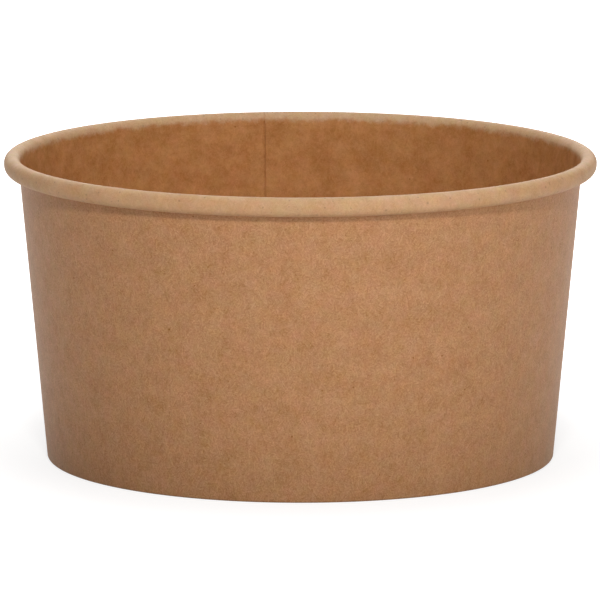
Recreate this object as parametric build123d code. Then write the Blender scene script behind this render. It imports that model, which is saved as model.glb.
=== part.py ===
from build123d import *
import math
import os

# Paper ice cream tub, one litre, open at the top.
# The side wall is one sheet of kraft board, rolled into a cone and lapped at a side seam. Its upper edge is
# rolled outwards into a hollow bead, and its lower edge is folded in and up to make the foot. The base disc is
# a second piece of board, with a skirt turned down that is sealed between the wall and the folded hem.
# The origin is on the table under the centre of the tub, with +Z up.

# Driving sizes, in millimetres
RIM_DIAMETER = 150.3  # outside of the rolled bead
FOOT_DIAMETER = 129.0  # outside of the wall at the table
HEIGHT = 77.6  # table to the top of the bead
WALL_BOARD = 0.45  # thickness of the side wall's board
BASE_BOARD = 0.40  # thickness of the base disc's board

# Rolled bead, in millimetres
BEAD_WIDTH = 4.1  # across the bead, at its top
BEAD_SIDE = 0.5  # upright band at the bead's widest place
ROLL_RADIUS = 2.25  # outside radius of the bead's lower half
BEAD_GAP = 0.15  # between the rolled-in edge and the wall

# Foot and base, in millimetres
RECESS = 8.0  # table to the underside of the base disc
BASE_BEND = 0.5  # inside radius of the bend from the disc to its skirt
HEM_SETBACK = 0.4  # from that bend down to the hem's cut edge
SKIRT_CLEARANCE = 0.3  # from the skirt's cut edge down to the fold
SEAL_FILM = 0.03  # sealing film on each side of the skirt

# Side seam, in millimetres, with its bearing in degrees from +X towards +Y
SEAM_BEARING = 97.5  # cut edge of the inner layer
SEAM_LAP = 8.0  # width of the lap, measured at the foot
SEAM_RAMP = 2.0  # where the outer layer climbs over that cut edge
SLIT_WIDTH = 0.35  # open slit left along that cut edge
SLIT_DEPTH = 0.2  # depth of the slit into the board
OVERRUN = 0.5  # how far a cutting shape reaches past the face that it cuts

# A bend of the board is a row of straight strips, in millimetres off its true arc
SHOWN_FLATNESS = 0.07  # on the faces that show
HIDDEN_FLATNESS = 0.3  # in the bead's hollow and under the base

# The cone, worked out in a section through the axis, where a point is (distance from the axis, height)
QUARTER_TURN = 90.0
rim_radius = RIM_DIAMETER / 2
foot_radius = FOOT_DIAMETER / 2
bead_radius = BEAD_WIDTH / 2
bead_centre = Vector(rim_radius - bead_radius, HEIGHT - bead_radius)

# The wall's outer face runs up from the foot and just touches the hollow of the bead.
foot_to_bead = bead_centre - Vector(foot_radius, 0)
wall_angle = math.atan2(foot_to_bead.Y, foot_to_bead.X)
wall_angle += math.asin((bead_radius - WALL_BOARD) / foot_to_bead.length)
wall_heading = math.degrees(wall_angle)


def on_wall(depth, height):
    """Point at a height, and at a depth square to the wall behind its outer face."""
    return Vector(foot_radius + height / math.tan(wall_angle) - depth / math.sin(wall_angle), height)


def bend(centre, radius, start, turn, inset, flatness):
    """Corners of a bend's strips at an inset from its outside, from a start angle through a turn."""
    strip_turn = 2 * math.degrees(math.acos(1 - flatness / radius))
    strips = math.ceil(abs(turn) / strip_turn)
    arm = Vector(radius - inset, 0)
    return [centre + arm.rotate(Axis.Z, start + turn * step / strips) for step in range(strips + 1)]


def ring(points, turn=4 * QUARTER_TURN):
    """Solid of a section's outline turned round the axis, starting over +X."""
    outline = Polyline(*points, close=True)
    return revolve(Plane.XZ * make_face(outline), Axis.Z, turn)


# The lower half of the bead, rolled in from its upright band until its cut edge meets the wall
roll_centre = Vector(rim_radius - ROLL_RADIUS, bead_centre.Y - BEAD_SIDE)
roll_room = (roll_centre.X - on_wall(0, roll_centre.Y).X) * math.sin(wall_angle) - BEAD_GAP
roll_turn = wall_heading - 3 * QUARTER_TURN + math.degrees(math.acos(roll_room / ROLL_RADIUS))

# The pocket between the wall and the hem, which holds the skirt
pocket = BASE_BOARD + 2 * SEAL_FILM
hem_depth = WALL_BOARD + pocket
hem_top = RECESS - BASE_BEND - HEM_SETBACK


def upper_bead(inset, flatness):
    """Upper half of the bead at an inset from its outside, from the wall over to its outer side."""
    start = wall_heading + QUARTER_TURN
    return bend(bead_centre, bead_radius, start, -start, inset, flatness)


def lower_bead(inset, flatness):
    """Lower half of the bead at an inset from its outside, from its outer side round to its cut edge."""
    return bend(roll_centre, ROLL_RADIUS, 0, roll_turn, inset, flatness)


def side_wall_sheet():
    """The sheet of the wall all round: hem, fold, cone and rolled bead."""
    inside = [
        on_wall(hem_depth, hem_top),
        on_wall(hem_depth, WALL_BOARD),
        on_wall(WALL_BOARD, WALL_BOARD),
        *upper_bead(0, SHOWN_FLATNESS),
        *lower_bead(0, SHOWN_FLATNESS),
    ]
    outside = [
        on_wall(hem_depth + WALL_BOARD, hem_top),
        on_wall(hem_depth + WALL_BOARD, 0),
        on_wall(0, 0),
        *upper_bead(WALL_BOARD, HIDDEN_FLATNESS),
        *lower_bead(WALL_BOARD, HIDDEN_FLATNESS),
    ]
    return ring([*inside, *reversed(outside)])


def seam_outline(height):
    """Outline of the seam's outer layer at a height: the lap, and its ramp down to the wall."""
    wall = on_wall(0, height).X
    lap_turn = math.degrees(SEAM_LAP / foot_radius)
    ramp_turn = math.degrees(SEAM_RAMP / foot_radius)
    start = SEAM_BEARING - lap_turn
    top = CenterArc((0, 0), wall + WALL_BOARD, start, lap_turn)
    bottom = CenterArc((0, 0), wall - WALL_BOARD / 2, start, lap_turn + ramp_turn)
    ramp_foot = Vector(wall, 0).rotate(Axis.Z, SEAM_BEARING + ramp_turn)
    sides = Polyline(top @ 1, ramp_foot, bottom @ 1)
    step = Line(bottom @ 0, top @ 0)
    return Plane.XY.offset(height) * make_face([top, bottom, step, *sides.edges()])


def seam_lap():
    """The seam's outer layer, from the foot up to the bead."""
    return loft([seam_outline(0), seam_outline(roll_centre.Y - ROLL_RADIUS)], ruled=True)


def seam_slit():
    """The slit along the inner layer's cut edge, up the inside of the wall and over the bead."""
    low = RECESS + BASE_BOARD
    open_side = [on_wall(WALL_BOARD + OVERRUN, low), *upper_bead(-OVERRUN, SHOWN_FLATNESS)]
    deep_side = [on_wall(WALL_BOARD - SLIT_DEPTH, low), *upper_bead(SLIT_DEPTH, SHOWN_FLATNESS)]
    slit = ring([*open_side, *reversed(deep_side)], math.degrees(SLIT_WIDTH / rim_radius))
    return Rot(Z=SEAM_BEARING) * slit


def side_wall():
    """The lapped and sealed side wall."""
    return side_wall_sheet() + seam_lap() - seam_slit()


def base_disc():
    """The base disc, with its skirt in the pocket between the wall and the hem."""
    skirt_depth = WALL_BOARD + SEAL_FILM
    skirt_low = WALL_BOARD + SKIRT_CLEARANCE
    bend_radius = BASE_BEND + BASE_BOARD
    centre = on_wall(skirt_depth + bend_radius, RECESS - BASE_BEND)
    turn = wall_heading - 2 * QUARTER_TURN
    top = [
        Vector(0, RECESS + BASE_BOARD),
        *bend(centre, bend_radius, QUARTER_TURN, turn, 0, SHOWN_FLATNESS),
        on_wall(skirt_depth, skirt_low),
    ]
    underside = [
        Vector(0, RECESS),
        *bend(centre, bend_radius, QUARTER_TURN, turn, BASE_BOARD, HIDDEN_FLATNESS),
        on_wall(skirt_depth + BASE_BOARD, skirt_low),
    ]
    return ring([*top, *reversed(underside)])


os.makedirs("parts", exist_ok=True)
export_step(side_wall(), "parts/side_wall.step")
export_step(base_disc(), "parts/base_disc.step")
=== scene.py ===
"""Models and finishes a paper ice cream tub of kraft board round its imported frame."""

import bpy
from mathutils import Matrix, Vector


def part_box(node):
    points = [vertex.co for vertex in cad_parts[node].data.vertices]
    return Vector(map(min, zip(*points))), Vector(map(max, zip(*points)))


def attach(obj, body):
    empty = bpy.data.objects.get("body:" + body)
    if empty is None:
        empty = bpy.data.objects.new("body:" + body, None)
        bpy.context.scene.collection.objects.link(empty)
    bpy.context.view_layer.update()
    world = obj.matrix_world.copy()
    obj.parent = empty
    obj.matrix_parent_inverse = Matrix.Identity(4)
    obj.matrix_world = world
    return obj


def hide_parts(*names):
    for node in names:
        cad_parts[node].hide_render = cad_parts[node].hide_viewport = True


bl_info = {
    "name": "Paper Ice Cream Tub",
    "version": (1, 0, 0),
    "blender": (4, 5, 0),
    "location": "3D View > Sidebar > Paper Tub",
    "description": "Builds the side wall and the base of a kraft board tub, with its studio",
    "category": "Add Mesh",
}

import math
from typing import NamedTuple

import bmesh
import bpy
from bpy.props import FloatProperty, FloatVectorProperty, PointerProperty
from mathutils import Matrix, Vector

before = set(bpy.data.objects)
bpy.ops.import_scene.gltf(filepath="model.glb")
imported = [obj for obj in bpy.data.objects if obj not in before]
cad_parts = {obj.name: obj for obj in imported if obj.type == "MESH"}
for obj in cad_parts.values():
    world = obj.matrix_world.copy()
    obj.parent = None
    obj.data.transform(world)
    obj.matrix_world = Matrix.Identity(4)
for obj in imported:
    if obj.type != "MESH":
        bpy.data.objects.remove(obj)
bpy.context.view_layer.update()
WALL_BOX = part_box("side_wall")
BASE_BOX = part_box("base_disc")

MM = 0.001
QUARTER_TURN = math.pi / 2
FULL_TURN = 4 * QUARTER_TURN
WELD = 0.002 * MM
SHARP_EDGE = math.radians(40)

# The section is drawn over +X, and a spin about this axis turns it from +X up to +Z
SECTION_AXIS = (0, -1, 0)

# Values that a drawn line keeps on its vertices, and the map of the flat sheet
ALONG_LAYER = "along_sheet"
FACE_LAYER = "sheet_face"
ROLL_LAYER = "rolled"
INSIDE_FACE = 0.0
OUTSIDE_FACE = 1.0
UV_NAME = "sheet"

# Rows of faces on the straight stretches of the section, and steps in its bends
HEM_ROWS = 3
FOLD_STEPS = 6
WALL_ROWS = 24
TOUCH_ROWS = 2
BEAD_STEPS = 18
DISC_ROWS = 12
BASE_BEND_STEPS = 8
SKIRT_ROWS = 3

# Steps round the tub
ROUND_STEPS = 240
SLIT_STEPS = 6
RAMP_STEPS = 6
LAP_STEPS = 8

# The lap is raised on the outside's faces that lie this near to the wall, in shares of the board
NEAR_WALL_SHARE = 0.25

# The finishes, in the order of the faces' material indices
INSIDE_FINISH = "kraft_inside"
OUTSIDE_FINISH = "kraft_outside"
CUT_FINISH = "kraft_cut_edge"
FINISHES = (INSIDE_FINISH, OUTSIDE_FINISH, CUT_FINISH)

# An outside face is a cut edge where the sine of its turn from the wall is more than this
CUT_EDGE_SINE = 0.7

# How strongly each part of the pulp shows on the plain and on the coated board
PLAIN_PULP = {"Fibres": 0.22, "Grain": 0.73, "Clouds": 0.68, "Hue": 0.30, "Specks": 0.45}
COATED_PULP = {"Fibres": 0.105, "Grain": 0.19, "Clouds": 1.30, "Hue": 0.27, "Specks": 0.40}
BEAD_PULP_SHARES = {"Fibres": 0.9, "Grain": 1.25, "Clouds": 0.45, "Hue": 1.2}

# Gloss of the finishes
PLAIN_ROUGHNESS = 0.55
COATED_ROUGHNESS = 0.6
CUT_ROUGHNESS = 0.85
PLAIN_SPECULAR = 0.2
COATED_SPECULAR = 0.06
BEAD_COAT = 0.15
BEAD_COAT_ROUGHNESS = 0.42
RELIEF_STRENGTH = 0.5

# Fibres lie in layers, each turned and shifted from the last, and swirl a little
FIBRE_LAYERS = 4
FIBRE_SHIFT = (0.37, 0.61, 5.3)
FIRST_TURN_SHARE = 0.3
SWIRL_SIZE_SHARE = 3.0
SWIRL_SHARE = 1.6
FIBRE_NOISE = {"Scale": 1.0, "Detail": 1.0}
FIBRE_LEVELS = {"Pale": (0.58, 0.74), "Dark": (0.42, 0.26)}

# Clouds, grain and specks
TONE_NOISE = {"Detail": 4.0, "Roughness": 0.8}
HUE_NOISE = {"Detail": 3.0, "Roughness": 0.7}
GRAIN_NOISE = {"Detail": 2.0, "Roughness": 0.7}
HUE_SCALE_SHARE = 1.7
GRAIN_HEIGHT_SHARE = 2.0
SPECK_SHARE = 0.2
SPECK_CORE_SHARE = 0.4
DOT_SHARE = 0.35
DOT_DARKNESS = 0.25

# What a change of the pulp does to red, green and blue
PULP_CONTRAST = (0.75, 1.0, 1.42)
RED_TINT = (0.5, -0.5, -0.2)
BLUE_TINT = (0.0, 0.0, 1.6)

# The floor close to the tub and farther away, as the tone that it has and the white that it shows; the
# darker tone close to the tub is painted shade round its foot, which also gives the lower wall less bounce
# light
FLOOR_SHADE_TONES = (0.35, 0.95)
FLOOR_WHITES = (0.75, 1.0)
FLOOR_ROUGHNESS = 0.9
FLOOR_SIDES = 96
WHITE = (1, 1, 1, 1)


class SoftboxPlace(NamedTuple):
    """Place of a softbox round the tub, and its width as a share of its distance.

    The bearing, from the camera's side, and the height are in degrees, and the distance is in metres.
    """

    bearing: float
    height: float
    distance: float
    width_share: float


SOFTBOXES = {
    "front": SoftboxPlace(bearing=0, height=32, distance=1.0, width_share=0.12),
    "left": SoftboxPlace(bearing=-38, height=18, distance=0.8, width_share=0.6),
    "right": SoftboxPlace(bearing=42, height=10, distance=0.8, width_share=0.6),
    "back": SoftboxPlace(bearing=180, height=30, distance=0.9, width_share=0.8),
    "top": SoftboxPlace(bearing=0, height=90, distance=0.8, width_share=0.9),
}


def length(name, description, millimetres):
    """A length property, given in millimetres."""
    return FloatProperty(
        name=name, description=description, default=millimetres * MM, min=0.0,
        subtype="DISTANCE", unit="LENGTH", precision=5,
    )


def angle(name, description, degrees):
    """An angle property, given in degrees."""
    return FloatProperty(
        name=name, description=description, default=math.radians(degrees), subtype="ANGLE", unit="ROTATION"
    )


def colour(name, description, red, green, blue):
    """A colour property in linear values."""
    return FloatVectorProperty(
        name=name, description=description, default=(red, green, blue), min=0.0, max=1.0,
        size=3, subtype="COLOR",
    )


def power(name, description, watts):
    """A lamp's power property."""
    return FloatProperty(
        name=name, description=description, default=watts, min=0.0, subtype="POWER", unit="POWER"
    )


class TubSizes(bpy.types.PropertyGroup):
    """Sizes of the tub's board and of its folds."""

    rim_radius: length("Rim radius", "Axis to the outside of the bead", WALL_BOX[1].x / MM)
    height: length("Height", "Table to the top of the bead", WALL_BOX[1].z / MM)
    foot_radius: length("Foot radius", "Axis to the outside of the wall at the table", 64.5)
    wall_board: length("Wall board", "Thickness of the side wall's board", 0.45)
    base_board: length("Base board", "Thickness of the base disc's board", 0.40)
    bead_width: length("Bead width", "Across the rolled bead", 4.1)
    bead_side: length("Bead side", "Upright band at the bead's widest place", 0.5)
    roll_radius: length("Roll radius", "Outside radius of the bead's lower half", 2.25)
    bead_gap: length("Bead gap", "Between the rolled-in edge and the wall", 0.15)
    base_top: length("Base top", "Table to the upper face of the base disc", BASE_BOX[1].z / MM)
    skirt_low: length("Skirt edge", "Table to the skirt's cut edge", BASE_BOX[0].z / MM)
    base_bend: length("Base bend", "Inside radius of the bend from the disc to its skirt", 0.5)
    hem_setback: length("Hem setback", "From that bend down to the hem's cut edge", 0.4)
    seal_film: length("Seal film", "Sealing film on each side of the skirt", 0.03)
    fold_radius: length("Fold radius", "Inside radius of the corners of the fold at the foot", 0.08)


class SeamSizes(bpy.types.PropertyGroup):
    """Sizes of the side seam."""

    bearing: angle("Bearing", "Cut edge of the inner layer, from +X towards +Y", 97.5)
    lap: length("Lap", "Width of the two layers, at the foot", 8.0)
    ramp: length("Ramp", "Where the outer layer climbs over the cut edge, at the foot", 2.0)
    edge: length("Cut edge", "Width of the narrow faces that stand at a cut edge", 0.04)
    slit_width: length("Slit width", "Open slit along the cut edge", 0.65)
    slit_depth: length("Slit depth", "Depth of the slit into the board", 0.28)


class BoardColours(bpy.types.PropertyGroup):
    """Colours of the kraft board; the rolled and crown colours are partly painted sheen on the bead."""

    outside: colour("Outside", "Plain outside of the board", 0.434, 0.215, 0.097)
    inside: colour("Inside", "Coated inside of the board", 0.480, 0.216, 0.076)
    # The rolled colour is the coated face's paler tone in the bead, partly its own tone and partly painted
    # sheen
    rolled: colour("Rolled", "Coated face where it is rolled into the bead", 0.526, 0.305, 0.159)
    # The crown colour is painted sheen at the top of the bead, over the coated face's paler tone
    crown_sheen: colour("Crown", "Coated face at the top of the bead", 0.578, 0.358, 0.196)
    cut: colour("Cut edge", "Raw cut edge of the board", 0.360, 0.200, 0.110)


class PulpSizes(bpy.types.PropertyGroup):
    """Sizes of what shows in the board's pulp, and of the pale zone on the bead."""

    fibre_length: length("Fibre length", "Length of a paper fibre", 2.0)
    fibre_width: length("Fibre width", "Width of a paper fibre", 0.22)
    grain: length("Grain", "Size of the fine grain", 0.5)
    cloud: length("Cloud", "Size of the uneven patches", 7.0)
    speck_spacing: length("Speck spacing", "Between the places where a speck of bark can lie", 8.0)
    speck: length("Speck", "Largest radius of a speck of bark", 0.36)
    dot_spacing: length("Dot spacing", "Between the places where a dot can lie on the bead", 2.0)
    dot: length("Dot", "Largest radius of a dot on the bead", 0.42)
    plain_relief: length("Plain relief", "Height of the fibres on the plain face", 0.02)
    coated_relief: length("Coated relief", "Height of the fibres on the coated face", 0.012)
    cut_relief: length("Cut relief", "Height of the fibres on a cut edge", 0.05)
    # The pale zone on the bead is partly the coated face's own tone and partly painted sheen; its palest
    # part, at the crown, is painted sheen
    pale_lead: length("Pale lead", "How far below the bead the coated face starts to turn paler", 0.9)
    pale_run: length("Pale run", "Over which length of the sheet it turns paler", 1.7)
    border_patch: length("Border patch", "Size of the patches that break up the pale zone's border", 5.0)
    border_reach: length("Border reach", "How far that border wanders with those patches", 4.0)
    crown_end: length("Crown end", "From the pale zone's start to the end of its palest part", 5.0)
    crown_fade: length("Crown fade", "Over which length the palest part fades", 1.4)


class StudioSettings(bpy.types.PropertyGroup):
    """Camera, light and floor."""

    lens: FloatProperty(name="Lens", description="Focal length", default=432.4, subtype="DISTANCE_CAMERA")
    distance: length("Distance", "Camera to the point that it faces", 1833.9)
    elevation: angle("Elevation", "Height of the camera above the level", 9.748)
    aim: FloatVectorProperty(
        name="Aim", description="Point that the camera and the lamps face",
        default=(-0.094 * MM, 0.0, 39.754 * MM), size=3, subtype="TRANSLATION", unit="LENGTH", precision=5,
    )
    camera_reach: length("Camera reach", "Farthest place that the camera sees", 20000.0)
    front_power: power("Front light", "Small softbox in front", 4.10)
    left_power: power("Left light", "Softbox at the left", 0.50)
    right_power: power("Right light", "Softbox at the right", 1.90)
    top_power: power("Top light", "Softbox overhead", 2.60)
    back_power: power("Back light", "Softbox behind", 3.00)
    ambient: FloatProperty(name="Ambient", description="Light of the white room on the tub", default=0.04)
    floor_radius: length("Floor radius", "Radius of the round floor", 6000.0)
    floor_drop: length("Floor drop", "How far the floor lies below the foot", 0.02)
    # The floor's darkest part, close to the tub, is painted shade round its foot
    near_radius: length("Near radius", "Radius of the floor's darkest part", 65.0)
    tone_radius: length("Tone radius", "Where the floor has turned pale", 150.0)
    white_radius: length("White radius", "Where the floor shows white", 300.0)


class TubSection:
    """Section of the tub through its axis, where a point is (distance from the axis, 0, height)."""

    def __init__(self, sizes):
        self.sizes = sizes
        self.bead_radius = sizes.bead_width / 2
        bead_height = sizes.height - self.bead_radius
        self.bead_centre = Vector((sizes.rim_radius - self.bead_radius, 0, bead_height))
        foot_to_bead = self.bead_centre - Vector((sizes.foot_radius, 0, 0))
        touch = math.asin((self.bead_radius - sizes.wall_board) / foot_to_bead.length)
        self.wall_angle = math.atan2(foot_to_bead.z, foot_to_bead.x) + touch
        roll_height = self.bead_centre.z - sizes.bead_side
        self.roll_centre = Vector((sizes.rim_radius - sizes.roll_radius, 0, roll_height))
        wall_gap = (self.roll_centre.x - self.on_wall(0, roll_height).x) * math.sin(self.wall_angle)
        closing_turn = math.acos((wall_gap - sizes.bead_gap) / sizes.roll_radius)
        self.roll_turn = self.wall_angle - 3 * QUARTER_TURN + closing_turn
        self.bead_underside = roll_height - sizes.roll_radius
        self.pocket = sizes.base_board + 2 * sizes.seal_film
        self.base_underside = sizes.base_top - sizes.base_board

    def on_wall(self, depth, height):
        """Point at a height, and at a depth square to the wall behind its outer face."""
        outer = self.sizes.foot_radius + height / math.tan(self.wall_angle)
        return Vector((outer - depth / math.sin(self.wall_angle), 0, height))


class BoardLine:
    """A line drawn in the section with extrusions and spins, which keeps its length along the sheet."""

    def __init__(self, bm, start, face):
        self.bm = bm
        self.along_layer = bm.verts.layers.float[ALONG_LAYER]
        self.tip = bm.verts.new(start)
        self.tip[bm.verts.layers.float[FACE_LAYER]] = face
        self.tip[self.along_layer] = 0.0

    def line_to(self, point, rows=1):
        """Extrudes the tip to a point, in equal rows."""
        step = (Vector(point) - self.tip.co) / rows
        for _ in range(rows):
            along = self.tip[self.along_layer]
            self.tip = bmesh.ops.extrude_vert_indiv(self.bm, verts=[self.tip])["verts"][0]
            self.tip.co += step
            self.tip[self.along_layer] = along + step.length

    def bend(self, centre, turn, steps, radius=None):
        """Spins the tip about a centre; the length along the sheet may follow another radius."""
        arm = radius or (self.tip.co - centre).length
        for _ in range(steps):
            along = self.tip[self.along_layer]
            spun = bmesh.ops.spin(
                self.bm, geom=[self.tip], cent=centre, axis=SECTION_AXIS, angle=turn / steps, steps=1,
                use_merge=False,
            )
            self.tip = next(item for item in spun["geom_last"] if isinstance(item, bmesh.types.BMVert))
            self.tip[self.along_layer] = along + arm * abs(turn) / steps


def add_layers(bm):
    """Adds the values that a drawn line carries: they come before the first vertex."""
    for name in (ALONG_LAYER, FACE_LAYER, ROLL_LAYER):
        bm.verts.layers.float.new(name)


def draw_sheet_face(bm, section, depth, face, pale_lead):
    """Draws one face of the side wall's sheet, from the hem's cut edge to the edge rolled into the bead."""
    sizes = section.sizes
    board = sizes.wall_board
    wall = section.wall_angle
    hem_depth = board + section.pocket
    hem_top = section.base_underside - sizes.base_bend - sizes.hem_setback
    fold_height = board + sizes.fold_radius
    fold_out = section.on_wall(fold_height, fold_height)
    fold_in = section.on_wall(hem_depth - sizes.fold_radius, fold_height)
    fold_arm = sizes.fold_radius + depth
    across = Vector((math.sin(wall), 0, -math.cos(wall)))

    line = BoardLine(bm, section.on_wall(hem_depth + depth, hem_top), face)
    line.line_to(fold_in - across * fold_arm, HEM_ROWS)
    line.bend(fold_in, math.pi - wall, FOLD_STEPS, radius=sizes.fold_radius)
    line.line_to(fold_out + Vector((0, 0, -fold_arm)))
    line.bend(fold_out, wall, FOLD_STEPS, radius=sizes.fold_radius)
    wall_depth = board - depth
    line.line_to(section.on_wall(wall_depth, section.bead_underside - board), WALL_ROWS)
    line.line_to(section.on_wall(wall_depth, section.bead_underside))
    bead_arm = section.bead_radius - depth
    line.line_to(section.bead_centre - across * bead_arm, TOUCH_ROWS)
    # The pale zone, partly painted sheen, starts a little below the bead
    pale_from = line.tip[line.along_layer] - pale_lead
    line.bend(section.bead_centre, -QUARTER_TURN - wall, BEAD_STEPS, radius=section.bead_radius)
    line.line_to(section.roll_centre + Vector((sizes.roll_radius - depth, 0, 0)))
    line.bend(section.roll_centre, section.roll_turn, BEAD_STEPS, radius=sizes.roll_radius)
    mark_roll(bm, face, pale_from)


def mark_roll(bm, face, pale_from):
    """Keeps on each vertex of a face how far along the sheet it lies past the start of the pale zone."""
    layers = bm.verts.layers.float
    for vert in bm.verts:
        if vert[layers[FACE_LAYER]] == face:
            vert[layers[ROLL_LAYER]] = vert[layers[ALONG_LAYER]] - pale_from


def join_cut_edges(bm):
    """Joins the lines' open ends by cut edges, nearest ends first; an end on the axis stays."""
    ends = [vert for vert in bm.verts if len(vert.link_edges) == 1 and vert.co.xy.length > WELD]
    while ends:
        first = ends.pop()
        other = min(ends, key=lambda vert: (vert.co - first.co).length)
        ends.remove(other)
        bmesh.ops.contextual_create(bm, geom=[first, other])


def spin_round(bm, zones):
    """Spins everything drawn round the axis, zone after zone of (turn, steps), and welds the ends."""
    geometry = bm.verts[:] + bm.edges[:]
    for turn, steps in zones:
        spun = bmesh.ops.spin(
            bm, geom=geometry, cent=(0, 0, 0), axis=(0, 0, 1), angle=turn, steps=steps, use_merge=False
        )
        geometry = [item for item in spun["geom_last"] if not isinstance(item, bmesh.types.BMFace)]
    bmesh.ops.remove_doubles(bm, verts=bm.verts, dist=WELD)
    bmesh.ops.recalc_face_normals(bm, faces=bm.faces)


def turn_from(co, bearing):
    """Turn of a point from a bearing, from 0 up to a full turn."""
    return (math.atan2(co.y, co.x) - bearing) % FULL_TURN


def map_sheet(bm, bearing, radius):
    """Gives the sheet a flat map in metres: round from the seam, and along the sheet."""
    layer = bm.loops.layers.uv.new(UV_NAME)
    along = bm.verts.layers.float[ALONG_LAYER]
    for face in bm.faces:
        middle = turn_from(face.calc_center_median(), bearing)
        for loop in face.loops:
            turn = turn_from(loop.vert.co, bearing)
            if turn - middle > math.pi:
                turn -= FULL_TURN
            if middle - turn > math.pi:
                turn += FULL_TURN
            loop[layer].uv = (turn * radius, loop.vert[along])


def map_blank(bm):
    """Gives the base the flat map of its round blank, in metres."""
    layer = bm.loops.layers.uv.new(UV_NAME)
    along = bm.verts.layers.float[ALONG_LAYER]
    for face in bm.faces:
        for loop in face.loops:
            loop[layer].uv = loop.vert.co.xy.normalized() * loop.vert[along]


def smooth_step(value):
    """Eases from 0 to 1."""
    value = min(max(value, 0.0), 1.0)
    return value * value * (3 - 2 * value)


def lap_lift(run, seam):
    """Share of the board by which the lap stands out, at a run round the foot from the inner cut edge."""
    # The narrow face past the lap is its outer cut edge: only the row on its near side is lifted.
    between_rows = seam.lap + seam.edge + seam.edge / 2
    if -between_rows < run <= 0:
        return 1.0
    if 0 < run < seam.ramp:
        return 1 - smooth_step(run / seam.ramp)
    return 0.0


def slit_sink(run, seam):
    """Depth of the slit, at a run round the rim from the inner cut edge."""
    if 0 <= run < seam.slit_width:
        return seam.slit_depth * (1 - smooth_step(run / seam.slit_width))
    return 0.0


def shape_seam(bm, section, seam):
    """Raises the lap on the outside and sinks the slit on the inside, both square to the wall."""
    sizes = section.sizes
    face_layer = bm.verts.layers.float[FACE_LAYER]
    lap_top = section.bead_underside - sizes.wall_board / 2
    slope = -math.cos(section.wall_angle)
    for vert in bm.verts:
        turn = turn_from(vert.co, seam.bearing)
        if turn > math.pi:
            turn -= FULL_TURN
        move = 0.0
        if vert[face_layer] == INSIDE_FACE and vert.co.z > sizes.base_top:
            move = slit_sink(turn * sizes.rim_radius, seam)
        if vert[face_layer] == OUTSIDE_FACE and vert.co.z < lap_top:
            off_wall = abs(vert.co.xy.length - section.on_wall(0, vert.co.z).x) / sizes.wall_board
            near_wall = smooth_step(1 - off_wall / NEAR_WALL_SHARE)
            move = lap_lift(turn * sizes.foot_radius, seam) * near_wall * sizes.wall_board
        if move:
            radial = vert.co.xy.normalized()
            vert.co += move * Vector((radial.x, radial.y, slope))


def finish_faces(bm):
    """Gives each face the finish of its side of the sheet, and the cut edges theirs."""
    layer = bm.verts.layers.float[FACE_LAYER]
    bm.normal_update()
    for face in bm.faces:
        sides = {vert[layer] for vert in face.verts}
        radial = face.calc_center_median().xy.normalized()
        finish = CUT_FINISH
        if sides == {INSIDE_FACE}:
            finish = INSIDE_FINISH
        elif sides == {OUTSIDE_FACE} and abs(radial.cross(face.normal.xy)) <= CUT_EDGE_SINE:
            finish = OUTSIDE_FINISH
        face.material_index = FINISHES.index(finish)


def finish_piece(bm, name):
    """Makes the object of a finished mesh, smooth shaded, at the origin."""
    mesh = bpy.data.meshes.new(name)
    bm.to_mesh(mesh)
    bm.free()
    mesh.shade_smooth()
    mesh.set_sharp_from_angle(angle=SHARP_EDGE)
    for finish in FINISHES:
        mesh.materials.append(bpy.data.materials[finish])
    piece = bpy.data.objects.new(name, mesh)
    bpy.context.scene.collection.objects.link(piece)
    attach(piece, "root")
    return piece


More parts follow.
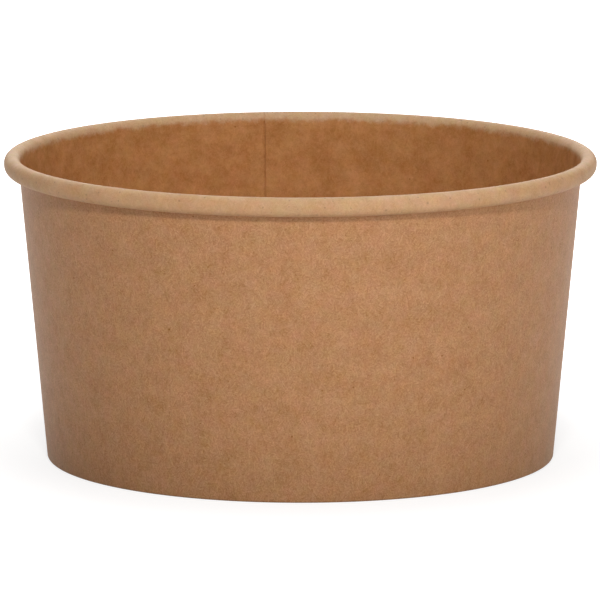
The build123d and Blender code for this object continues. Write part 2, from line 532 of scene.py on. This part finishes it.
class NodeBench:
    """Adds nodes to a tree; an input that is a socket is linked, and any other is set."""

    def __init__(self, tree):
        self.tree = tree

    def add(self, kind, inputs=None, **settings):
        """A new node with its settings and its inputs by name."""
        node = self.tree.nodes.new(kind)
        for name, value in settings.items():
            setattr(node, name, value)
        for name, value in (inputs or {}).items():
            self.put(node.inputs[name], value)
        return node

    def put(self, socket, value):
        """Links a socket to an input, or sets the input to a value."""
        if isinstance(value, bpy.types.NodeSocket):
            self.tree.links.new(value, socket)
        else:
            socket.default_value = value

    def group(self, name, inputs):
        """A node of one of the node groups."""
        return self.add("ShaderNodeGroup", inputs, node_tree=bpy.data.node_groups[name])

    def noise(self, vector, scale, settings):
        """A noise texture of a size given by its scale."""
        return self.add("ShaderNodeTexNoise", {"Vector": vector, "Scale": scale, **settings})

    def math(self, operation, *values):
        """The result of a sum on values."""
        node = self.add("ShaderNodeMath", operation=operation)
        for socket, value in zip(node.inputs, values):
            self.put(socket, value)
        return node.outputs[0]

    def vector_math(self, operation, *values):
        """The result of a sum on vectors or colours."""
        node = self.add("ShaderNodeVectorMath", operation=operation)
        for socket, value in zip(node.inputs, values):
            self.put(socket, value)
        return node.outputs[0]

    def scaled(self, vector, factor):
        """A vector or colour times a value."""
        inputs = {"Vector": vector, "Scale": factor}
        return self.add("ShaderNodeVectorMath", inputs, operation="SCALE").outputs[0]

    def distance(self, vector):
        """Length of a vector."""
        return self.add("ShaderNodeVectorMath", {"Vector": vector}, operation="LENGTH").outputs["Value"]

    def split(self, vector):
        """The three parts of a vector or colour."""
        return self.add("ShaderNodeSeparateXYZ", {"Vector": vector}).outputs

    def mix(self, factor, first, second):
        """A colour between two colours."""
        node = self.add("ShaderNodeMix", {"Factor": factor}, data_type="RGBA")
        sockets = {socket.identifier: socket for socket in (*node.inputs, *node.outputs)}
        self.put(sockets["A_Color"], first)
        self.put(sockets["B_Color"], second)
        return sockets["Result_Color"]

    def centred(self, value):
        """A noise value about zero."""
        return self.math("SUBTRACT", value, 0.5)

    def between(self, mask, low, high):
        """A value that runs from low to high with a mask."""
        return self.add("ShaderNodeMapRange", {"Value": mask, "To Min": low, "To Max": high}).outputs[0]

    def smooth(self, value, start, end, low=0.0, high=1.0):
        """A value that eases from low to high while another runs from a start to an end."""
        return self.add("ShaderNodeMapRange", {
            "Value": value, "From Min": start, "From Max": end, "To Min": low, "To Max": high,
        }, interpolation_type="SMOOTHSTEP").outputs[0]


def new_group(name, inputs, outputs):
    """A shader node group with its sockets; returns its bench, its inputs and its output node's inputs."""
    group = bpy.data.node_groups.new(name, "ShaderNodeTree")
    for label, kind in inputs.items():
        group.interface.new_socket(label, in_out="INPUT", socket_type="NodeSocket" + kind)
    for label, kind in outputs.items():
        group.interface.new_socket(label, in_out="OUTPUT", socket_type="NodeSocket" + kind)
    bench = NodeBench(group)
    return bench, bench.add("NodeGroupInput").outputs, bench.add("NodeGroupOutput").inputs


def fibre_group():
    """Short paper fibres that lie every way: masks of the pale ones and of the dark ones."""
    bench, inputs, out = new_group(
        "paper_fibres",
        {"Vector": "Vector", "Length": "Float", "Width": "Float"},
        {"Pale": "Float", "Dark": "Float"},
    )
    swirl_size = bench.math("MULTIPLY", inputs["Length"], SWIRL_SIZE_SHARE)
    swirl_scale = bench.add("ShaderNodeCombineXYZ", {"X": swirl_size, "Y": swirl_size, "Z": 1.0}).outputs[0]
    swirl_place = bench.add("ShaderNodeMapping", {
        "Vector": inputs["Vector"], "Scale": swirl_scale,
    }, vector_type="TEXTURE").outputs[0]
    swirl = bench.add("ShaderNodeTexNoise", {"Vector": swirl_place, **FIBRE_NOISE}).outputs["Color"]
    swirl = bench.vector_math("SUBTRACT", swirl, (0.5, 0.5, 0.5))
    swirl_reach = bench.math("MULTIPLY", inputs["Length"], SWIRL_SHARE)
    place = bench.vector_math("MULTIPLY_ADD", swirl, swirl_reach, inputs["Vector"])
    strand = bench.add("ShaderNodeCombineXYZ", {
        "X": inputs["Length"], "Y": inputs["Width"], "Z": 1.0,
    }).outputs[0]
    totals = {label: 0.0 for label in FIBRE_LEVELS}
    for layer in range(FIBRE_LAYERS):
        turned = bench.add("ShaderNodeMapping", {
            "Vector": place,
            "Location": tuple(layer * shift for shift in FIBRE_SHIFT),
            "Scale": strand,
            "Rotation": (0, 0, (layer + FIRST_TURN_SHARE) * math.pi / FIBRE_LAYERS),
        }, vector_type="TEXTURE").outputs[0]
        noise = bench.add("ShaderNodeTexNoise", {"Vector": turned, **FIBRE_NOISE}).outputs["Fac"]
        for label, (start, end) in FIBRE_LEVELS.items():
            totals[label] = bench.math("MAXIMUM", bench.smooth(noise, start, end), totals[label])
    for label, total in totals.items():
        bench.put(out[label], total)


def cloud_group():
    """Uneven pulp: its tone, its redness and its blueness, each about zero."""
    bench, inputs, out = new_group(
        "pulp_clouds",
        {"Vector": "Vector", "Size": "Float"},
        {"Tone": "Float", "Red": "Float", "Blue": "Float"},
    )
    scale = bench.math("DIVIDE", 1.0, inputs["Size"])
    tone = bench.noise(inputs["Vector"], scale, TONE_NOISE).outputs["Fac"]
    bench.put(out["Tone"], bench.centred(tone))
    hue_scale = bench.math("MULTIPLY", scale, HUE_SCALE_SHARE)
    hue = bench.split(bench.noise(inputs["Vector"], hue_scale, HUE_NOISE).outputs["Color"])
    bench.put(out["Red"], bench.centred(hue["Y"]))
    bench.put(out["Blue"], bench.centred(hue["Z"]))


def speck_group():
    """A few dark specks of bark, as a mask."""
    bench, inputs, out = new_group(
        "bark_specks",
        {"Vector": "Vector", "Spacing": "Float", "Size": "Float", "Share": "Float"},
        {"Specks": "Float"},
    )
    scale = bench.math("DIVIDE", 1.0, inputs["Spacing"])
    cells = bench.add("ShaderNodeTexVoronoi", {
        "Vector": inputs["Vector"], "Scale": scale,
    }, voronoi_dimensions="2D").outputs
    size = bench.add("ShaderNodeMapRange", {
        "Value": bench.split(cells["Color"])["X"],
        "From Min": bench.math("SUBTRACT", 1.0, inputs["Share"]),
        "From Max": 1.0,
        "To Max": bench.math("DIVIDE", inputs["Size"], inputs["Spacing"]),
    }).outputs[0]
    core = bench.math("MULTIPLY", size, SPECK_CORE_SHARE)
    mask = bench.smooth(cells["Distance"], core, size, 1.0, 0.0)
    chosen = bench.math("GREATER_THAN", size, 0.0)
    bench.put(out["Specks"], bench.math("MULTIPLY", mask, chosen))


def kraft_group(pulp):
    """Kraft board: its colour broken up by fibres, clouds and specks, and the height of its fibres."""
    bench, inputs, out = new_group(
        "kraft_board",
        {"Vector": "Vector", "Board": "Color", **{label: "Float" for label in PLAIN_PULP}},
        {"Colour": "Color", "Height": "Float"},
    )
    sheet = inputs["Vector"]
    fibres = bench.group("paper_fibres", {
        "Vector": sheet, "Length": pulp.fibre_length, "Width": pulp.fibre_width,
    }).outputs
    grain = bench.centred(bench.noise(sheet, 1 / pulp.grain, GRAIN_NOISE).outputs["Fac"])
    clouds = bench.group("pulp_clouds", {"Vector": sheet, "Size": pulp.cloud}).outputs
    specks = bench.group("bark_specks", {
        "Vector": sheet, "Spacing": pulp.speck_spacing, "Size": pulp.speck, "Share": SPECK_SHARE,
    }).outputs["Specks"]
    strands = bench.math("SUBTRACT", fibres["Pale"], fibres["Dark"])
    tone = bench.math("MULTIPLY", strands, inputs["Fibres"])
    tone = bench.math("MULTIPLY_ADD", grain, inputs["Grain"], tone)
    tone = bench.math("MULTIPLY_ADD", clouds["Tone"], inputs["Clouds"], tone)
    tone = bench.math("SUBTRACT", tone, bench.math("MULTIPLY", specks, inputs["Specks"]))
    tone = bench.vector_math("MULTIPLY_ADD", tone, PULP_CONTRAST, (1, 1, 1))
    red = bench.math("MULTIPLY", clouds["Red"], inputs["Hue"])
    blue = bench.math("MULTIPLY", clouds["Blue"], inputs["Hue"])
    tint = bench.vector_math("MULTIPLY_ADD", red, RED_TINT, (1, 1, 1))
    tint = bench.vector_math("MULTIPLY_ADD", blue, BLUE_TINT, tint)
    tinted = bench.vector_math("MULTIPLY", inputs["Board"], tint)
    bench.put(out["Colour"], bench.vector_math("MULTIPLY", tinted, tone))
    bench.put(out["Height"], bench.math("MULTIPLY_ADD", grain, GRAIN_HEIGHT_SHARE, strands))


class BoardFinish:
    """A material of kraft board, with its bench, its shader, the sheet's map and the board's node."""

    def __init__(self, name, tone, amounts, roughness, specular, relief):
        material = bpy.data.materials.new(name)
        material.use_nodes = True
        self.bench = NodeBench(material.node_tree)
        self.shader = material.node_tree.nodes["Principled BSDF"].inputs
        self.sheet = self.bench.add("ShaderNodeUVMap", uv_map=UV_NAME).outputs[0]
        self.board = self.bench.group("kraft_board", {"Vector": self.sheet, "Board": (*tone, 1), **amounts})
        bump = self.bench.add("ShaderNodeBump", {
            "Height": self.board.outputs["Height"], "Strength": RELIEF_STRENGTH, "Distance": relief,
        })
        self.bench.put(self.shader["Base Color"], self.board.outputs["Colour"])
        self.bench.put(self.shader["Roughness"], roughness)
        self.bench.put(self.shader["Specular IOR Level"], specular)
        self.bench.put(self.shader["Normal"], bump.outputs[0])


def coated_finish(colours, pulp):
    """The coated face of the board, which turns glossier and dotted where it is rolled, and paler there:
    partly its own tone, partly painted sheen, palest at the top of the bead.
    """
    finish = BoardFinish(
        INSIDE_FINISH, colours.inside, COATED_PULP, COATED_ROUGHNESS, COATED_SPECULAR, pulp.coated_relief
    )
    bench = finish.bench
    board = finish.board
    past = bench.add("ShaderNodeAttribute", attribute_name=ROLL_LAYER).outputs["Fac"]
    patches = bench.group("pulp_clouds", {"Vector": finish.sheet, "Size": pulp.border_patch}).outputs["Tone"]
    uneven_past = bench.math("MULTIPLY_ADD", patches, pulp.border_reach, past)
    rolled = bench.smooth(uneven_past, 0.0, pulp.pale_run)
    # Painted sheen: the crown colour at the top of the bead fades into the rolled colour below it
    below_crown_sheen = bench.smooth(past, pulp.crown_end, pulp.crown_end + pulp.crown_fade)
    bead = bench.mix(below_crown_sheen, (*colours.crown_sheen, 1), (*colours.rolled, 1))
    bench.put(board.inputs["Board"], bench.mix(rolled, (*colours.inside, 1), bead))
    for label, share in BEAD_PULP_SHARES.items():
        amount = COATED_PULP[label]
        bench.put(board.inputs[label], bench.between(rolled, amount, amount * share))
    dots = bench.group("bark_specks", {
        "Vector": finish.sheet, "Spacing": pulp.dot_spacing, "Size": pulp.dot, "Share": DOT_SHARE,
    }).outputs["Specks"]
    shade = bench.math("MULTIPLY", bench.math("MULTIPLY", dots, rolled), DOT_DARKNESS)
    dotted = bench.scaled(board.outputs["Colour"], bench.math("SUBTRACT", 1.0, shade))
    bench.put(finish.shader["Base Color"], dotted)
    bench.put(finish.shader["Coat Weight"], bench.math("MULTIPLY", rolled, BEAD_COAT))
    bench.put(finish.shader["Coat Roughness"], BEAD_COAT_ROUGHNESS)


def make_finishes(colours, pulp):
    """The node groups and the three finishes of the board."""
    fibre_group()
    cloud_group()
    speck_group()
    kraft_group(pulp)
    coated_finish(colours, pulp)
    BoardFinish(
        OUTSIDE_FINISH, colours.outside, PLAIN_PULP, PLAIN_ROUGHNESS, PLAIN_SPECULAR, pulp.plain_relief
    )
    BoardFinish(CUT_FINISH, colours.cut, PLAIN_PULP, CUT_ROUGHNESS, PLAIN_SPECULAR, pulp.cut_relief)


class TUB_OT_finishes(bpy.types.Operator):
    """Make the finishes of the kraft board"""

    bl_idname = "tub.finishes"
    bl_label = "Finishes"

    def execute(self, context):
        make_finishes(context.scene.tub_colours, context.scene.tub_pulp)
        return {"FINISHED"}


class TUB_OT_side_wall(bpy.types.Operator):
    """Model the side wall: hem, fold, cone, rolled bead and side seam"""

    bl_idname = "tub.side_wall"
    bl_label = "Side wall"

    def execute(self, context):
        sizes = context.scene.tub_sizes
        seam = context.scene.tub_seam
        pale_lead = context.scene.tub_pulp.pale_lead
        section = TubSection(sizes)
        bm = bmesh.new()
        add_layers(bm)
        draw_sheet_face(bm, section, 0.0, INSIDE_FACE, pale_lead)
        draw_sheet_face(bm, section, sizes.wall_board, OUTSIDE_FACE, pale_lead)
        join_cut_edges(bm)
        to_seam = Matrix.Rotation(seam.bearing, 3, "Z")
        bmesh.ops.rotate(bm, verts=bm.verts, cent=(0, 0, 0), matrix=to_seam)
        slit = seam.slit_width / sizes.rim_radius
        ramp = seam.ramp / sizes.foot_radius
        lap = seam.lap / sizes.foot_radius
        edge = seam.edge / sizes.foot_radius
        rest = FULL_TURN - ramp - lap - 2 * edge
        spin_round(bm, [
            (slit, SLIT_STEPS),
            (ramp - slit, RAMP_STEPS),
            (rest, ROUND_STEPS),
            (edge, 1),
            (lap, LAP_STEPS),
            (edge, 1),
        ])
        map_sheet(bm, seam.bearing, (sizes.rim_radius + sizes.foot_radius) / 2)
        shape_seam(bm, section, seam)
        finish_faces(bm)
        piece = finish_piece(bm, "tub_side_wall")
        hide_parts("side_wall")
        return {"FINISHED"}


class TUB_OT_base_disc(bpy.types.Operator):
    """Model the base disc with its skirt"""

    bl_idname = "tub.base_disc"
    bl_label = "Base disc"

    def execute(self, context):
        sizes = context.scene.tub_sizes
        section = TubSection(sizes)
        bm = bmesh.new()
        add_layers(bm)
        skirt_depth = sizes.wall_board + sizes.seal_film
        bend_radius = sizes.base_bend + sizes.base_board
        centre = section.on_wall(skirt_depth + bend_radius, section.base_underside - sizes.base_bend)
        for depth, face in ((0.0, INSIDE_FACE), (sizes.base_board, OUTSIDE_FACE)):
            line = BoardLine(bm, (0, 0, sizes.base_top - depth), face)
            line.line_to(centre + Vector((0, 0, bend_radius - depth)), DISC_ROWS)
            line.bend(centre, section.wall_angle - 2 * QUARTER_TURN, BASE_BEND_STEPS)
            line.line_to(section.on_wall(skirt_depth + depth, sizes.skirt_low), SKIRT_ROWS)
        join_cut_edges(bm)
        spin_round(bm, [(FULL_TURN, ROUND_STEPS)])
        map_blank(bm)
        finish_faces(bm)
        piece = finish_piece(bm, "tub_base_disc")
        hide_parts("base_disc")
        return {"FINISHED"}


def add_softbox(name, place, aim, watts):
    """A square softbox that faces a point."""
    light = bpy.data.lights.new(name, "AREA")
    light.shape = "SQUARE"
    light.size = place.distance * place.width_share
    light.energy = watts
    lamp = bpy.data.objects.new(name, light)
    round_tub = Matrix.Rotation(math.radians(place.bearing), 3, "Z")
    upwards = Matrix.Rotation(math.radians(-place.height), 3, "X")
    outwards = round_tub @ upwards @ Vector((0, -1, 0))
    lamp.location = aim + outwards * place.distance
    lamp.rotation_euler = outwards.to_track_quat("Z", "Y").to_euler()
    lamp.visible_camera = False
    bpy.context.scene.collection.objects.link(lamp)


def add_camera(studio, aim):
    """The camera at the photograph's viewing angle."""
    data = bpy.data.cameras.new("camera")
    data.lens = studio.lens
    data.clip_end = studio.camera_reach
    camera = bpy.data.objects.new("camera", data)
    back = Vector((0, -math.cos(studio.elevation), math.sin(studio.elevation)))
    camera.location = aim + back * studio.distance
    camera.rotation_euler = (QUARTER_TURN - studio.elevation, 0, 0)
    bpy.context.scene.collection.objects.link(camera)
    bpy.context.scene.camera = camera


def seen_mask(bench):
    """Mask of the rays that show a background: camera, glossy and transmission rays."""
    rays = bench.add("ShaderNodeLightPath").outputs
    mask = bench.math("MAXIMUM", rays["Is Camera Ray"], rays["Is Glossy Ray"])
    return bench.math("MAXIMUM", mask, rays["Is Transmission Ray"])


def white_room(studio):
    """A white world, which lights the tub less than it shows."""
    world = bpy.data.worlds.new("white_room")
    world.use_nodes = True
    bpy.context.scene.world = world
    bench = NodeBench(world.node_tree)
    background = world.node_tree.nodes["Background"].inputs
    bench.put(background["Color"], WHITE)
    bench.put(background["Strength"], bench.between(seen_mask(bench), studio.ambient, 1.0))


def floor_finish(studio):
    """Pale floor, which shows white and keeps the tub's shadow; its tone is darker close to the tub, a
    painted shade round the foot.
    """
    material = bpy.data.materials.new("pale_floor")
    material.use_nodes = True
    bench = NodeBench(material.node_tree)
    shader = material.node_tree.nodes["Principled BSDF"].inputs
    away = bench.distance(bench.add("ShaderNodeTexCoord").outputs["Object"])
    # Painted shade: the floor's tone is darkest close to the tub and turns pale farther away
    tone = bench.smooth(away, studio.near_radius, studio.tone_radius, *FLOOR_SHADE_TONES)
    white = bench.smooth(away, studio.near_radius, studio.white_radius, *FLOOR_WHITES)
    bench.put(shader["Base Color"], tone)
    bench.put(shader["Roughness"], FLOOR_ROUGHNESS)
    bench.put(shader["Specular IOR Level"], 0.0)
    bench.put(shader["Emission Color"], WHITE)
    bench.put(shader["Emission Strength"], bench.math("MULTIPLY", white, seen_mask(bench)))
    return material


def add_floor(studio):
    """A wide round floor under the tub."""
    bm = bmesh.new()
    bmesh.ops.create_circle(bm, cap_ends=True, radius=studio.floor_radius, segments=FLOOR_SIDES)
    bmesh.ops.translate(bm, verts=bm.verts, vec=(0, 0, -studio.floor_drop))
    mesh = bpy.data.meshes.new("floor")
    bm.to_mesh(mesh)
    bm.free()
    mesh.materials.append(floor_finish(studio))
    floor = bpy.data.objects.new("floor", mesh)
    bpy.context.scene.collection.objects.link(floor)


class TUB_OT_stage(bpy.types.Operator):
    """Set up the floor, the light and the camera"""

    bl_idname = "tub.stage"
    bl_label = "Stage"

    def execute(self, context):
        studio = context.scene.tub_studio
        context.scene.view_settings.view_transform = "Standard"
        aim = Vector(studio.aim)
        add_floor(studio)
        white_room(studio)
        for name, place in SOFTBOXES.items():
            add_softbox(name, place, aim, getattr(studio, name + "_power"))
        add_camera(studio, aim)
        return {"FINISHED"}


class TUB_PT_panel(bpy.types.Panel):
    """Lists the tub's settings and the steps that build it"""

    bl_label = "Paper Tub"
    bl_idname = "TUB_PT_panel"
    bl_space_type = "VIEW_3D"
    bl_region_type = "UI"
    bl_category = "Paper Tub"

    def draw(self, context):
        for name, group in GROUPS.items():
            box = self.layout.box()
            for setting in group.__annotations__:
                box.prop(getattr(context.scene, name), setting)
        for operator in OPERATORS:
            self.layout.operator(operator.bl_idname)


GROUPS = {
    "tub_sizes": TubSizes,
    "tub_seam": SeamSizes,
    "tub_colours": BoardColours,
    "tub_pulp": PulpSizes,
    "tub_studio": StudioSettings,
}
OPERATORS = (TUB_OT_finishes, TUB_OT_side_wall, TUB_OT_base_disc, TUB_OT_stage)
CLASSES = (*GROUPS.values(), *OPERATORS, TUB_PT_panel)


def register():
    """Registers the classes, and gives every scene the settings."""
    for cls in CLASSES:
        bpy.utils.register_class(cls)
    for name, group in GROUPS.items():
        setattr(bpy.types.Scene, name, PointerProperty(type=group))


def unregister():
    """Takes the settings and the classes away again."""
    for name in GROUPS:
        delattr(bpy.types.Scene, name)
    for cls in reversed(CLASSES):
        bpy.utils.unregister_class(cls)


def main():
    """Builds the tub and its stage."""
    register()
    bpy.ops.tub.finishes()
    bpy.ops.tub.side_wall()
    bpy.ops.tub.base_disc()
    bpy.ops.tub.stage()


if __name__ == "__main__":
    main()
